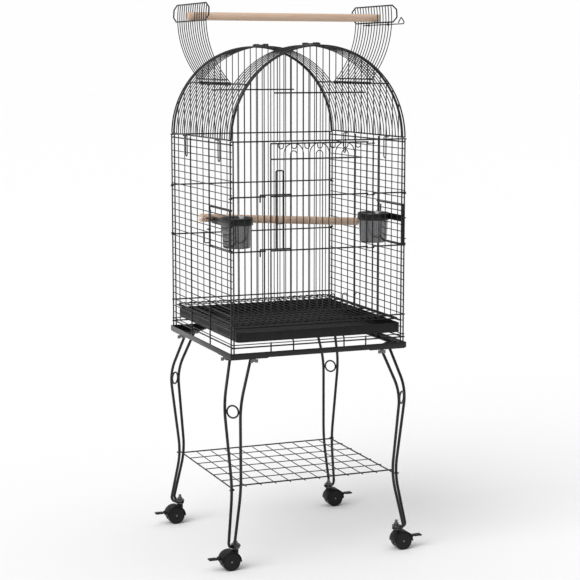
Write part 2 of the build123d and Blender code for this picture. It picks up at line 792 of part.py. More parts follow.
dome_ring = rail_wire / 2 + play + bar_wire / 2
ring_clearance = degrees((dome_ring + bar_wire / 2) / dome_radius)
hinge_bar_angle = hinge_angle + hinge_bar_turn
tip_reach = door_half_width + bar_wire
door_wire_places = [y + dome_door_shift for y in door_places]
dome_latch_wire = 3.0
guide_wire = 2.2
guide_ring = dome_latch_wire / 2 + play + guide_wire / 2
guide_span = guide_ring + guide_wire / 2 + rail_wire / 2 + play
dome_latch_angle = door_bar_angle - degrees(guide_span / dome_rail_radius)
dome_latch_radius = dome_radius + (bar_wire + dome_latch_wire) / 2 + play / 2
guide_places = (door_wire_places[1] + pitch / 2, door_wire_places[8] + pitch / 2)
for side_name, side in SIDES.items():
    with BuildPart() as dome_door:
        grille = []
        centre_x, centre_z = opened(side, 0, 0)
        span = door_tip_angle - hinge_angle - ring_clearance
        first = hinge_angle + ring_clearance - door_open_angle
        if side < 0:
            first = 180 - first - span
        ring_x, ring_z = vault_point(side, hinge_angle, dome_rail_radius)
        for y in door_wire_places:
            grille.append(arc_wire((centre_x, y, centre_z), dome_radius, first, span, bar_wire))
            grille.append(arc_wire((ring_x, y, ring_z), dome_ring, 0, 360, bar_wire))
        low_x, low_z = opened(side, hinge_bar_angle, dome_rail_radius)
        grille.append(
            rail_y(low_x, low_z, door_wire_places[0], door_wire_places[-1], rail_wire)
        )
        bar_x, bar_z = opened(side, door_bar_angle, dome_rail_radius)
        tip_x, tip_z = opened(side, door_tip_angle, dome_rail_radius)
        hexagon = []
        front_places = [(-1, place) for place in (1, bulge_high_share, bulge_low_share, 0)]
        back_places = [(1, place) for place in (0, bulge_low_share, bulge_high_share, 1)]
        for end, from_bar in front_places + back_places:
            bulge = tip_bulge if 0 < from_bar < 1 else 0
            y = dome_door_shift + end * (tip_reach + bulge)
            hexagon.append(
                (bar_x + (tip_x - bar_x) * from_bar, y, bar_z + (tip_z - bar_z) * from_bar)
            )
        grille.append(bent_wire(hexagon, rail_wire, rail_wire, close=True))
        if side > 0:
            guide_x, guide_z = opened(side, dome_latch_angle, dome_latch_radius)
            for y in guide_places:
                grille.append(arc_wire((guide_x, y, guide_z), guide_ring, 0, 360, guide_wire))
        add(grille)
    save(dome_door, f"dome_door_{side_name}")

# Dome latch: a sliding rod with a folded pull at the front
latch_back = 76.0
latch_front = -198.0
pull_height = 18.0
pull_depth = 26.0
pull_bend = 3.9
with BuildPart() as dome_latch:
    rod_x, rod_z = opened(1, dome_latch_angle, dome_latch_radius)
    upper_angle = dome_latch_angle + degrees(pull_height / dome_latch_radius)
    pull_x, pull_z = opened(1, upper_angle, dome_latch_radius)
    return_angle = dome_latch_angle + degrees((dome_latch_wire + 2 * play) / dome_latch_radius)
    return_x, return_z = opened(1, return_angle, dome_latch_radius)
    frame_front = dome_door_shift - tip_reach - tip_bulge - rail_wire / 2
    pull_points = [
        (rod_x, latch_back, rod_z),
        (rod_x, latch_front, rod_z),
        (pull_x, latch_front + pull_depth, pull_z),
        (return_x, frame_front - 2 * dome_latch_wire, return_z),
    ]
    add(bent_wire(pull_points, dome_latch_wire, pull_bend))
save(dome_latch, "dome_latch")

# Top perch: a rod across the open dome doors, slotted over a wire of each
perch_radius = perch_diameter / 2
perch_slot_floor = 255.0
with BuildPart() as perch_top:
    bar_x, bar_z = opened(1, door_bar_angle, dome_rail_radius)
    perch_height = bar_z + rail_wire / 2 + perch_radius + seat_gap
    perch_y = door_wire_places[dome_door_bays // 2]
    rod_plane = Plane(origin=(0, perch_y, perch_height), x_dir=(0, 1, 0), z_dir=(1, 0, 0))
    with BuildSketch(rod_plane):
        Circle(perch_radius)
    extrude(amount=top_perch_length / 2, both=True)
    chamfer(perch_top.edges().filter_by(GeomType.CIRCLE), perch_chamfer)
    slot_length = top_perch_length / 2 - perch_slot_floor
    for side in SIDES.values():
        with Locations((side * (perch_slot_floor + slot_length), perch_y, perch_height)):
            Box(2 * slot_length, perch_slot, 2 * perch_diameter, mode=Mode.SUBTRACT)
save(perch_top, "perch_top")

# Inside perch: a sloping rod slotted over a level bar of each side panel
left_bar_bay = 17
right_bar_bay = 15
left_perch_y = -48.0
right_perch_y = 58.0
perch_overhang = 20.0
with BuildPart() as perch_inside:
    left_z = floor_rail_height + side_pitch * left_bar_bay
    right_z = floor_rail_height + side_pitch * right_bar_bay
    left_seat = Vector(-side_bar_layer, left_perch_y, left_z)
    right_seat = Vector(side_bar_layer, right_perch_y, right_z)
    run_direction = (right_seat - left_seat).normalized()
    rod_start = left_seat - run_direction * perch_overhang
    rod_length = (right_seat - left_seat).length + perch_overhang + bar_wire / 2
    with BuildSketch(Plane(origin=rod_start, z_dir=run_direction)):
        Circle(perch_radius)
    extrude(amount=rod_length)
    slot_depth = 5.0
    inner_face = side_bar_layer - bar_wire / 2 - slot_depth
    slot_run = 2 * perch_overhang + slot_depth
    for side, z in ((-1, left_z), (1, right_z)):
        with Locations((side * (inner_face + slot_run / 2), 0, z)):
            Box(slot_run, cage_depth, perch_slot, mode=Mode.SUBTRACT)
save(perch_inside, "perch_inside")

# Feeder doors: barred frames looped to the front uprights of the side panels
feeder_rail_gap = (bar_wire + rail_wire) / 2 + play
feeder_bottom = feeder_low + feeder_rail_gap
feeder_top = feeder_high - feeder_rail_gap
feeder_front = -stile_layer + eye_ring + (eye_wire + rail_wire) / 2 + weld_gap
feeder_rear = -side_upright_offset - rail_wire - 2 * play
feeder_rail_layer = post_x - stile_step
latch_rod = 3.0
latch_eye = latch_rod / 2 + play + guide_wire / 2
latch_rod_x = side_bar_layer + bar_wire / 2 + latch_eye + guide_wire / 2 + weld_gap
latch_rod_y = feeder_rear - 8.0
low_eye_bay = 14
high_eye_bay = 17
for side_name, side in SIDES.items():
    with BuildPart() as feeder_door:
        frame_wires = []
        for y in (feeder_front, feeder_rear):
            frame_wires.append(
                upright(
                    side * post_x,
                    y,
                    feeder_bottom - rail_wire / 2,
                    feeder_top + rail_wire / 2,
                    rail_wire,
                )
            )
        rail_front = feeder_front - rail_wire / 2
        rail_rear = feeder_rear + rail_wire / 2
        for z in (feeder_bottom, feeder_top):
            frame_wires.append(
                rail_y(side * feeder_rail_layer, z, rail_front, rail_rear, rail_wire)
            )
        for bay in range(feeder_first_bay + 1, feeder_first_bay + feeder_bays):
            z = floor_rail_height + side_pitch * bay
            frame_wires.append(rail_y(side * side_bar_layer, z, rail_front, rail_rear, bar_wire))
        for bay in (low_eye_bay, high_eye_bay):
            z = floor_rail_height + side_pitch * bay
            hinge_centre = (side * post_x, -stile_layer, z)
            frame_wires.append(arc_wire(hinge_centre, eye_ring, 0, 360, eye_wire, (0, 0, 1)))
            eye_centre = (side * latch_rod_x, latch_rod_y, z)
            frame_wires.append(arc_wire(eye_centre, latch_eye, 0, 360, guide_wire, (0, 0, 1)))
        add(frame_wires)
    save(feeder_door, f"feeder_door_{side_name}")

# Feeder latches: a turning rod with a hook round the side upright and a folded grip
hook_reach = 7.5
grip_reach = 18.0
rod_head = 6.0
high_eye_z = floor_rail_height + side_pitch * high_eye_bay
low_eye_z = floor_rail_height + side_pitch * low_eye_bay
spring_base = high_eye_z + guide_wire / 2 + play
rod_top = spring_base + spring_length + 2 * play + spring_wire / 2
for side_name, side in SIDES.items():
    arm_x = side * (latch_rod_x + latch_rod + weld_gap)
    arm_z = floor_rail_height + side_pitch * (low_eye_bay + high_eye_bay) / 2
    tip_y = -side_upright_offset + rail_wire / 2 + latch_rod / 2 + 2 * play + hook_reach / 2
    tip_x = side * (side_bar_layer - hook_reach / 2)
    with BuildPart() as feeder_latch:
        latch_wires = [
            upright(
                side * latch_rod_x, latch_rod_y, low_eye_z - pitch / 2, rod_top, latch_rod
            ),
            upright(
                side * latch_rod_x,
                latch_rod_y,
                rod_top + weld_gap,
                rod_top + weld_gap + latch_rod / 2,
                rod_head,
            ),
        ]
        arm_points = [
            (arm_x, latch_rod_y - latch_rod, arm_z),
            (arm_x, tip_y, arm_z),
            (tip_x, tip_y, arm_z),
        ]
        latch_wires.append(bent_wire(arm_points, latch_rod, latch_rod))
        grip_top = arm_z - 2 * latch_rod
        grip_low = low_eye_z - pitch / 3
        grip_y = latch_rod_y - latch_rod - weld_gap
        grip_x = side * (latch_rod_x + grip_reach)
        grip_points = [
            (side * latch_rod_x, grip_y, grip_top),
            (grip_x, grip_y, grip_top),
            (grip_x, grip_y, grip_low),
            (side * latch_rod_x, grip_y, grip_low),
        ]
        latch_wires.append(bent_wire(grip_points, latch_rod, 1.5 * latch_rod))
        add(latch_wires)
    save(feeder_latch, f"feeder_latch_{side_name}")


def helix_point(centre, radius, rise, turn):
    """A place on a coil after a number of turns, and the way the wire runs there."""
    angle = 2 * pi * turn
    point = Vector(
        centre[0] + radius * cos(angle),
        centre[1] + radius * sin(angle),
        centre[2] + rise * turn,
    )
    heading = Vector(-radius * sin(angle), radius * cos(angle), rise / (2 * pi))
    return point, heading.normalized()


def coil_line(centre, radius, rise, turns):
    """A coil's line as pairs of arcs, one pair for each quarter turn."""
    with BuildLine() as run:
        for quarter in range(4 * turns):
            start, heading = helix_point(centre, radius, rise, quarter / 4)
            end, end_heading = helix_point(centre, radius, rise, (quarter + 1) / 4)
            chord = end - start
            along = chord.dot(heading + end_heading)
            spread = 2 * (1 - heading.dot(end_heading))
            reach = (sqrt(along**2 + spread * chord.dot(chord)) - along) / spread
            first_corner = start + heading * reach
            second_corner = end - end_heading * reach
            join = (first_corner + second_corner) * 0.5
            TangentArc(start, join, tangent=heading)
            TangentArc(join, end, tangent=second_corner - first_corner)
    return run.line


# Feeder springs: coils round the top of the latch rods
coil_radius = latch_rod / 2 + 2 * play + spring_wire / 2
coil_rise = spring_length / spring_turns
samples_per_turn = 48


def coil_gap(coil):
    """Least gap between a coil's neighbouring turns, measured on points along it."""
    count = spring_turns * samples_per_turn
    points = [coil @ (step / count) for step in range(count + 1)]
    least = min(
        (points[first] - points[second]).length
        for first in range(count)
        for second in range(first + samples_per_turn // 2, count + 1)
    )
    return least - spring_wire


for side_name, side in SIDES.items():
    coil_base = (side * latch_rod_x, latch_rod_y, spring_base + spring_wire / 2)
    with BuildPart() as feeder_spring:
        coil = coil_line(coil_base, coil_radius, coil_rise, spring_turns)
        with BuildSketch(coil ^ 0) as section:
            Circle(spring_wire / 2)
        sweep(sections=section.sketch, path=coil)
    print(side_name, "feeder spring, least gap to itself", round(coil_gap(coil), 2), "mm")
    save(feeder_spring, f"feeder_spring_{side_name}")

# Cup holders: a hoop round the cup on a flat strap along the feeder door
cup_top = cup_base_height + cup_height
band_top = cup_top - cup_rim
hoop_inner = cup_radius + play
hoop_outer = hoop_inner + holder_wall
strap_outer = side_bar_layer - bar_wire / 2 - weld_gap
for side_name, side in SIDES.items():
    with BuildPart() as cup_holder:
        with BuildSketch(Plane.XY.offset(band_top - holder_band)):
            with Locations((side * (strap_outer - holder_wall / 2), (feeder_front + feeder_rear) / 2)):
                Rectangle(holder_wall, feeder_rear - feeder_front)
            with Locations((side * cup_reach, cup_position)):
                Circle(hoop_outer)
                Circle(hoop_inner, mode=Mode.SUBTRACT)
        extrude(amount=holder_band)
    save(cup_holder, f"cup_holder_{side_name}")

# Cups: drawn steel, slightly tapered, with a turned rim
cup_foot_radius = 38.0
cup_foot_bend = 1.25
for side_name, side in SIDES.items():
    cup_plane = Plane(
        origin=(side * cup_reach, cup_position, cup_base_height),
        x_dir=(1, 0, 0),
        z_dir=(0, -1, 0),
    )
    with BuildPart() as cup:
        with BuildSketch(cup_plane):
            with BuildLine():
                Polyline(
                    (0, 0),
                    (cup_foot_radius, 0),
                    (cup_radius - play, cup_height - cup_rim + weld_gap),
                    (cup_radius + cup_rim, cup_height - cup_rim + weld_gap),
                    (cup_radius + cup_rim, cup_height),
                    (cup_radius - play - cup_wall, cup_height),
                    (cup_foot_radius - cup_wall, cup_wall),
                    (0, cup_wall),
                    close=True,
                )
            make_face()
        revolve(axis=Axis(cup_plane.origin, (0, 0, 1)))
        foot_edges = cup.edges().filter_by(GeomType.CIRCLE).group_by(Axis.Z)[0]
        foot_edge = foot_edges.sort_by(SortBy.RADIUS)[-1]
        fillet(foot_edge, cup_foot_bend)
    save(cup, f"cup_{side_name}")

# Caster stems: a threaded stem with washers and a nut that clamp the leg rods
boss_top = 57.6
washer_radius = 12.0
washer_thickness = 1.6
hex_nut_radius = 7.4
hex_nut_height = 6.4
stem_top = leg_foot_height + 20.0
stem_bottom = boss_top - 7.0
with BuildPart() as caster_stems:
    low_washer = leg_foot_height - leg_rod / 2 - washer_thickness - weld_gap
    high_washer = leg_foot_height + leg_rod / 2 + weld_gap
    nut_base = high_washer + washer_thickness + weld_gap
    for corner in CORNERS.values():
        stem_x, stem_y, _ = diagonal(corner, caster_reach, 0, 0)
        with BuildSketch(Plane.XY.offset(stem_bottom)):
            with Locations((stem_x, stem_y)):
                Circle(stem_diameter / 2)
        extrude(amount=stem_top - stem_bottom)
        for base in (low_washer, high_washer):
            with BuildSketch(Plane.XY.offset(base)):
                with Locations((stem_x, stem_y)):
                    Circle(washer_radius)
            extrude(amount=washer_thickness)
        with BuildSketch(Plane.XY.offset(nut_base)):
            with Locations((stem_x, stem_y)):
                RegularPolygon(hex_nut_radius, 6)
        extrude(amount=hex_nut_height)
save(caster_stems, "caster_stems")

# Casters: twin wheels on an axle in a hood that swivels on the stem
wheel_radius = wheel_diameter / 2
hood_inner = wheel_radius + hood_gap
hood_outer = hood_inner + hood_wall
web_clearance = 0.4
wheel_inner_y = web_thickness / 2 + web_clearance
hood_width = 2 * (wheel_inner_y + wheel_width) + 2 * web_clearance
boss_radius = 8.5
barrel_radius = 3.5
barrel_reach = hood_outer + barrel_radius
barrel_height = 9.0
lug_thickness = 3.0
barrel_width = 9.0
tab_length = 22.0
tab_width = 18.0
tab_thickness = 3.5
hub_recess = 2.0
for corner_name, corner in CORNERS.items():
    outward = corner[0]
    stem_x, stem_y, _ = diagonal(corner, caster_reach, 0, 0)
    wheel_centre = (stem_x + outward * caster_trail, stem_y, wheel_radius)
    roll_plane = Plane(origin=wheel_centre, x_dir=(outward, 0, 0), z_dir=(0, -outward, 0))
    boss_height = boss_top - wheel_radius

    with BuildPart() as caster_hood:
        with BuildSketch(roll_plane):
            Circle(hood_outer)
            with Locations((0, -hood_outer)):
                Rectangle(2 * hood_outer, 2 * hood_outer - barrel_radius, mode=Mode.SUBTRACT)
        extrude(amount=hood_width / 2, both=True)
        with BuildSketch(Plane.XY.offset(wheel_radius)):
            with Locations((stem_x, stem_y)):
                Circle(boss_radius)
        extrude(amount=boss_height)
        with BuildSketch(roll_plane.offset(web_thickness / 2)):
            Circle(hood_inner)
        extrude(amount=hood_width, mode=Mode.SUBTRACT)
        with BuildSketch(roll_plane.offset(-web_thickness / 2)):
            Circle(hood_inner)
        extrude(amount=-hood_width, mode=Mode.SUBTRACT)
        with BuildSketch(roll_plane):
            Circle(axle_diameter)
        extrude(amount=web_thickness / 2, both=True)
        for side in SIDES.values():
            lug_middle = side * (barrel_width / 2 + lug_thickness / 2 + running_fit * 2)
            with BuildSketch(roll_plane.offset(lug_middle)):
                with Locations((barrel_reach, barrel_height)):
                    Circle(barrel_radius)
                with Locations((barrel_reach - barrel_radius, barrel_height)):
                    Rectangle(2 * barrel_radius, 2 * barrel_radius)
            extrude(amount=lug_thickness / 2, both=True)
        with BuildSketch(roll_plane):
            Circle(axle_diameter / 2 + weld_gap)
            with Locations((barrel_reach, barrel_height)):
                Circle(brake_pin / 2 + weld_gap)
        extrude(amount=hood_width, both=True, mode=Mode.SUBTRACT)
        with BuildSketch(Plane.XY.offset(stem_bottom - play)):
            with Locations((stem_x, stem_y)):
                Circle(stem_diameter / 2 + running_fit)
        extrude(amount=boss_height, mode=Mode.SUBTRACT)
        with BuildSketch(roll_plane):
            with Locations((barrel_reach, barrel_height)):
                Circle(brake_pin / 2)
        extrude(amount=barrel_width / 2 + lug_thickness, both=True)
    save(caster_hood, f"caster_hood_{corner_name}")

    with BuildPart() as caster_axle:
        with BuildSketch(roll_plane):
            Circle(axle_diameter / 2)
        extrude(amount=wheel_inner_y + wheel_width, both=True)
    save(caster_axle, f"caster_axle_{corner_name}")

    with BuildPart() as caster_wheels:
        for side in SIDES.values():
            with BuildSketch(roll_plane.offset(side * wheel_inner_y)):
                Circle(wheel_radius)
                Circle(axle_diameter / 2 + running_fit, mode=Mode.SUBTRACT)
            extrude(amount=side * wheel_width)
            with BuildSketch(roll_plane.offset(side * (wheel_inner_y + wheel_width))):
                Circle(hub_radius)
                Circle(axle_diameter, mode=Mode.SUBTRACT)
            extrude(amount=-side * hub_recess, mode=Mode.SUBTRACT)
        rims = caster_wheels.edges().filter_by(GeomType.CIRCLE).group_by(SortBy.RADIUS)[-1]
        chamfer(rims, hub_recess)
    save(caster_wheels, f"caster_wheels_{corner_name}")

    with BuildPart() as caster_brake:
        with BuildSketch(roll_plane):
            with Locations((barrel_reach, barrel_height)):
                Circle(barrel_radius - play)
        extrude(amount=barrel_width / 2, both=True)
        tab_base = barrel_reach + barrel_radius - 2 * play
        with BuildSketch(roll_plane):
            with Locations((barrel_reach + barrel_radius, barrel_height)):
                Rectangle(2 * barrel_radius, tab_thickness)
        extrude(amount=barrel_width / 2, both=True)
        with BuildSketch(roll_plane):
            with Locations((tab_base + barrel_radius + tab_length / 2, barrel_height)):
                Rectangle(tab_length, tab_thickness)
        extrude(amount=tab_width / 2, both=True)
        with BuildSketch(roll_plane):
            with Locations((barrel_reach, barrel_height)):
                Circle(brake_pin / 2 + running_fit)
        extrude(amount=tab_width, both=True, mode=Mode.SUBTRACT)
    save(caster_brake, f"caster_brake_{corner_name}")
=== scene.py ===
"""Dome top parrot cage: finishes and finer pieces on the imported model."""
import json
import math

import bmesh
import bpy
from bpy.props import FloatProperty, FloatVectorProperty, IntProperty, PointerProperty
from mathutils import Matrix, Vector


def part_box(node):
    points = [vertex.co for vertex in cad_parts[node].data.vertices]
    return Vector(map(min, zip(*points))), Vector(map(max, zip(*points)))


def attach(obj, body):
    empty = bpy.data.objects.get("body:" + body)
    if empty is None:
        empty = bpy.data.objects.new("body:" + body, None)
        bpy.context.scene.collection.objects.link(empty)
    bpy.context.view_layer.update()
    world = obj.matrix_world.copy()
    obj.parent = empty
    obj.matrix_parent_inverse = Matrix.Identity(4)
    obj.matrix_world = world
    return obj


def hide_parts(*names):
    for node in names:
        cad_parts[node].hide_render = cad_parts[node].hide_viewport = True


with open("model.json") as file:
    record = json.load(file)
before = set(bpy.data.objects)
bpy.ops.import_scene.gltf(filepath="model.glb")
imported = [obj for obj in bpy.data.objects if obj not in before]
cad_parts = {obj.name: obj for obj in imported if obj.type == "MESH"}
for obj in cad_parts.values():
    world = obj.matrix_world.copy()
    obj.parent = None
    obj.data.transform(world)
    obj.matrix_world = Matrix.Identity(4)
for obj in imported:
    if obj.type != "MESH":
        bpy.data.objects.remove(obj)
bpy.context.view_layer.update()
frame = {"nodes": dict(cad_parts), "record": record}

bl_info = {
    "name": "Dome Top Parrot Cage",
    "version": (1, 0, 0),
    "blender": (4, 5, 0),
    "location": "View3D > Sidebar > Cage",
    "description": "Dresses a dome top parrot cage with its finishes, cups, springs and casters",
    "category": "Object",
}

BODY_OF_NODE = {
    node: body
    for body, nodes in frame["record"]["behaviour"]["bodies"].items()
    for node in nodes
}
SLOT_OF_NODE = {
    part["node"]: part["material_slot"] for part in frame["record"]["subparts"]
}
SIDES = ("left", "right")
CORNERS = ("front_left", "front_right", "back_left", "back_right")

SMOOTH_ANGLE = math.radians(34)
FLAT_ANGLE = math.radians(1)
HARD_ANGLE = math.radians(40)
MERGE_CAD = 1e-6
MERGE_SPUN = 1e-7
AXIS_Z = (0, 0, 1)

FLOOR_SIZE = 60.0
WORLD_LIGHT = 0.36
BACKDROP = (0.99, 0.99, 0.99, 1.0)
LAMP_AIM = Vector((0.0, 0.0, 0.75))
# Name, place, power and spread in degrees
LAMPS = (
    ("key", (-2.4, -1.2, 3.2), 1.90, 50.0),
    ("top", (0.2, 0.6, 4.2), 0.95, 100.0),
)
CAMERA_PLACE = (-1.6668, -4.1744, 1.3569)
CAMERA_PITCH = 0.1414
CAMERA_YAW = 0.3831
FOCAL_PIXELS = 1601.25
PICTURE_PIXELS = 580.0
SENSOR_WIDTH = 36.0
VIEW_END = 200.0


class CageSizes(bpy.types.PropertyGroup):
    """Sizes of the pieces that are made here."""

    edge: FloatProperty(
        name="Moulded edge", description="Rounding of moulded plastic edges",
        default=0.0009, unit="LENGTH",
    )
    sheet_edge: FloatProperty(
        name="Sheet edge", description="Rounding of coated sheet metal edges",
        default=0.0005, unit="LENGTH",
    )
    cup_wall: FloatProperty(
        name="Cup wall", description="Thickness of the drawn steel cups",
        default=0.0009, unit="LENGTH",
    )
    spring_wire: FloatProperty(
        name="Spring wire", description="Diameter of the latch spring wire",
        default=0.0012, unit="LENGTH",
    )
    spring_turns: IntProperty(
        name="Spring turns", description="Turns in each latch spring", default=7, min=1
    )


class CageColours(bpy.types.PropertyGroup):
    """Colours of the finishes."""

    coat: FloatVectorProperty(
        name="Powder coat", description="Black coat on the wire work",
        subtype="COLOR", default=(0.0055, 0.0055, 0.006),
    )
    plastic: FloatVectorProperty(
        name="Plastic", description="Moulded tray and casters",
        subtype="COLOR", default=(0.006, 0.006, 0.0065),
    )
    steel: FloatVectorProperty(
        name="Cup steel", description="Polished stainless cups",
        subtype="COLOR", default=(0.17, 0.17, 0.175),
    )
    zinc: FloatVectorProperty(
        name="Zinc", description="Plated screws, springs and stems",
        subtype="COLOR", default=(0.16, 0.16, 0.165),
    )
    wood: FloatVectorProperty(
        name="Wood", description="Sanded perch wood",
        subtype="COLOR", default=(0.64, 0.465, 0.345),
    )
    grain: FloatVectorProperty(
        name="Grain", description="Darker grain of the perch wood",
        subtype="COLOR", default=(0.50, 0.335, 0.235),
    )
    floor: FloatVectorProperty(
        name="Floor", description="Plain floor and backdrop",
        subtype="COLOR", default=(0.95, 0.95, 0.95),
    )


class Value:
    """A socket of a finish, for shader sums written as Python expressions."""

    def __init__(self, finish, socket):
        self.finish = finish
        self.socket = socket

    def sum(self, operation, first, second):
        return self.finish.node(
            "ShaderNodeMath", {"operation": operation}, {0: first, 1: second}
        )

    def __add__(self, other):
        return self.sum("ADD", self, other)

    def __sub__(self, other):
        return self.sum("SUBTRACT", self, other)

    def __mul__(self, other):
        return self.sum("MULTIPLY", self, other)

    __radd__ = __add__
    __rmul__ = __mul__


class Finish:
    """One procedural material and the nodes in it."""

    def __init__(self, name, **plain):
        self.material = bpy.data.materials.new(name)
        self.material.use_nodes = True
        self.tree = self.material.node_tree
        self.shader = self.tree.nodes["Principled BSDF"]
        for socket, value in plain.items():
            self.set(socket.replace("_", " ").title(), value)

    def feed(self, socket, value):
        if isinstance(value, Value):
            self.tree.links.new(value.socket, socket)
        else:
            socket.default_value = value

    def set(self, socket, value):
        if not isinstance(value, (Value, float, int)) and len(value) == 3:
            value = (*value, 1.0)
        self.feed(self.shader.inputs[socket], value)

    def node(self, kind, settings=None, inputs=None, output=0):
        made = self.tree.nodes.new(kind)
        for name, value in (settings or {}).items():
            if name == "stops":
                for stop, (place, level) in zip(made.color_ramp.elements, value):
                    stop.position = place
                    stop.color = (level, level, level, 1.0)
            else:
                setattr(made, name, value)
        for name, value in (inputs or {}).items():
            self.feed(made.inputs[name], value)
        return Value(self, made.outputs[output])

    def place(self, centre=(0, 0, 0), turn=(0, 0, 0), scale=(1, 1, 1)):
        """Object coordinates, moved to a centre, turned and stretched."""
        here = self.node("ShaderNodeTexCoord", output="Object")
        shift = self.node(
            "ShaderNodeVectorMath", {"operation": "SUBTRACT"}, {0: here, 1: centre}
        )
        return self.node(
            "ShaderNodeMapping",
            inputs={"Vector": shift, "Rotation": turn, "Scale": scale},
        )

    def noise(self, where, scale, detail=3.0, roughness=0.5):
        return self.node(
            "ShaderNodeTexNoise",
            inputs={"Vector": where, "Scale": scale, "Detail": detail, "Roughness": roughness},
        )

    def stops(self, factor, *stops):
        return self.node("ShaderNodeValToRGB", {"stops": stops}, {"Fac": factor})

    def mix(self, factor, first, second):
        return self.node(
            "ShaderNodeMix",
            {"data_type": "RGBA"},
            {"Factor": factor, 6: (*first, 1.0), 7: (*second, 1.0)},
            output=2,
        )

    def relief(self, height, depth):
        bump = self.node("ShaderNodeBump", inputs={"Height": height, "Distance": depth})
        self.set("Normal", bump)


def shade(colour, factor):
    """A colour made lighter or darker."""
    return tuple(channel * factor for channel in colour)


def powder_coat(colours):
    """Black powder coat with the orange peel and fine pits of a baked finish."""
    finish = Finish("powder_coat", coat_weight=0.10, coat_roughness=0.15)
    where = finish.place()
    peel = finish.noise(where, 420.0, 2.0)
    pits = finish.node(
        "ShaderNodeTexVoronoi", {"feature": "SMOOTH_F1"}, {"Vector": where, "Scale": 900.0}
    )
    wear = finish.noise(where, 18.0, 4.0)
    finish.set("Base Color", finish.mix(wear, colours.coat, shade(colours.coat, 2.2)))
    finish.set("Specular IOR Level", 0.28)
    finish.set("Roughness", 0.22 + peel * 0.16)
    finish.relief(peel * 0.6 + pits * 0.4, depth=0.00025)
    return finish


def moulded_plastic(name, colours, roughness, grain):
    """Black moulded plastic with a fine spark texture and faint scuffs."""
    finish = Finish(name)
    where = finish.place()
    spark = finish.noise(where, grain, 2.0, 0.7)
    scuff = finish.stops(finish.noise(where, 35.0, 5.0, 0.65), (0.45, 0.0), (0.75, 1.0))
    finish.set("Base Color", finish.mix(scuff, colours.plastic, shade(colours.plastic, 1.9)))
    finish.set("Specular IOR Level", 0.22)
    finish.set("Roughness", roughness + spark * 0.12 - scuff * 0.06)
    finish.relief(spark, depth=0.00012)
    return finish


def plated_steel(colours):
    """Zinc plate with cloudy crystals."""
    finish = Finish("plated_steel", metallic=1.0)
    where = finish.place()
    cloud = finish.noise(where, 160.0, 4.0)
    finish.set("Base Color", finish.mix(cloud, shade(colours.zinc, 0.75), shade(colours.zinc, 1.3)))
    finish.set("Roughness", 0.28 + cloud * 0.2)
    finish.relief(finish.noise(where, 900.0), depth=0.00005)
    return finish


def cup_steel(name, colours, centre):
    """Drawn stainless steel with turning lines that run round the cup."""
    finish = Finish(name, metallic=1.0)
    where = finish.place(centre)
    level = finish.node("ShaderNodeVectorMath", {"operation": "MULTIPLY"}, {0: where, 1: (1, 1, 0)})
    radius = finish.node(
        "ShaderNodeVectorMath", {"operation": "LENGTH"}, {0: level}, output="Value"
    )
    height = finish.node("ShaderNodeSeparateXYZ", inputs={0: where}, output="Z")
    ring = finish.node("ShaderNodeCombineXYZ", inputs={"X": radius, "Z": height})
    lines = finish.noise(ring, 2600.0, 3.0, 0.6)
    smear = finish.noise(where, 60.0, 4.0, 0.6)
    finish.set("Base Color", finish.mix(smear, shade(colours.steel, 0.7), shade(colours.steel, 1.3)))
    finish.set("Roughness", 0.06 + lines * 0.08 + smear * 0.06)
    finish.relief(lines, depth=0.00004)
    return finish


def perch_wood(name, colours, centre, turn):
    """Pale sanded wood with grain along the rod and short dark pores."""
    finish = Finish(name)
    along = finish.place(centre, turn, (1.2, 16.0, 16.0))
    rings = finish.node(
        "ShaderNodeTexWave",
        {"wave_type": "RINGS", "rings_direction": "X"},
        {"Vector": finish.place(centre, turn, (0.10, 1.0, 1.0)), "Scale": 60.0,
         "Distortion": 5.0, "Detail": 3.0, "Detail Scale": 1.4},
        output="Fac",
    )
    streaks = finish.noise(along, 9.0, 6.0, 0.62)
    pores = finish.noise(finish.place(centre, turn, (9.0, 240.0, 240.0)), 6.0, 2.0)
    pore_mask = finish.stops(pores, (0.60, 0.0), (0.72, 1.0))
    grain = rings * 0.45 + streaks * 0.65
    tone = finish.stops(grain, (0.38, 0.0), (0.72, 1.0))
    finish.set(
        "Base Color", finish.mix(tone * 0.55 + pore_mask * 0.30, colours.wood, colours.grain)
    )
    finish.set("Roughness", 0.52 + streaks * 0.16)
    finish.relief(grain * 0.5 - pore_mask * 0.6, depth=0.00025)
    return finish


def kept(form, name, finish, node):
    """Turn a finished bmesh into the piece that replaces a node."""
    mesh = bpy.data.meshes.new(name)
    form.to_mesh(mesh)
    form.free()
    mesh.shade_smooth()
    mesh.set_sharp_from_angle(angle=SMOOTH_ANGLE)
    piece = bpy.data.objects.new(name, mesh)
    bpy.context.collection.objects.link(piece)
    mesh.materials.append(finish.material)
    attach(piece, BODY_OF_NODE[node])
    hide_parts(node)


def coated(node, finish):
    """A node's own mesh with a finish on it."""
    mesh = frame["nodes"][node].data
    mesh.materials.clear()
    mesh.materials.append(finish.material)


def softened(node, name, finish, edge, segments=2):
    """A node's own shape with its hard edges rounded."""
    form = bmesh.new()
    form.from_mesh(frame["nodes"][node].data)
    bmesh.ops.remove_doubles(form, verts=form.verts, dist=MERGE_CAD)
    bmesh.ops.dissolve_limit(
        form, angle_limit=FLAT_ANGLE, verts=form.verts, edges=form.edges
    )
    hard = [
        line for line in form.edges
        if line.is_manifold and line.calc_face_angle(0) > HARD_ANGLE
    ]
    bmesh.ops.bevel(
        form, geom=hard, offset=edge, offset_type="OFFSET", segments=segments, profile=0.5,
        affect="EDGES", clamp_overlap=True, material=-1,
    )
    kept(form, name, finish, node)


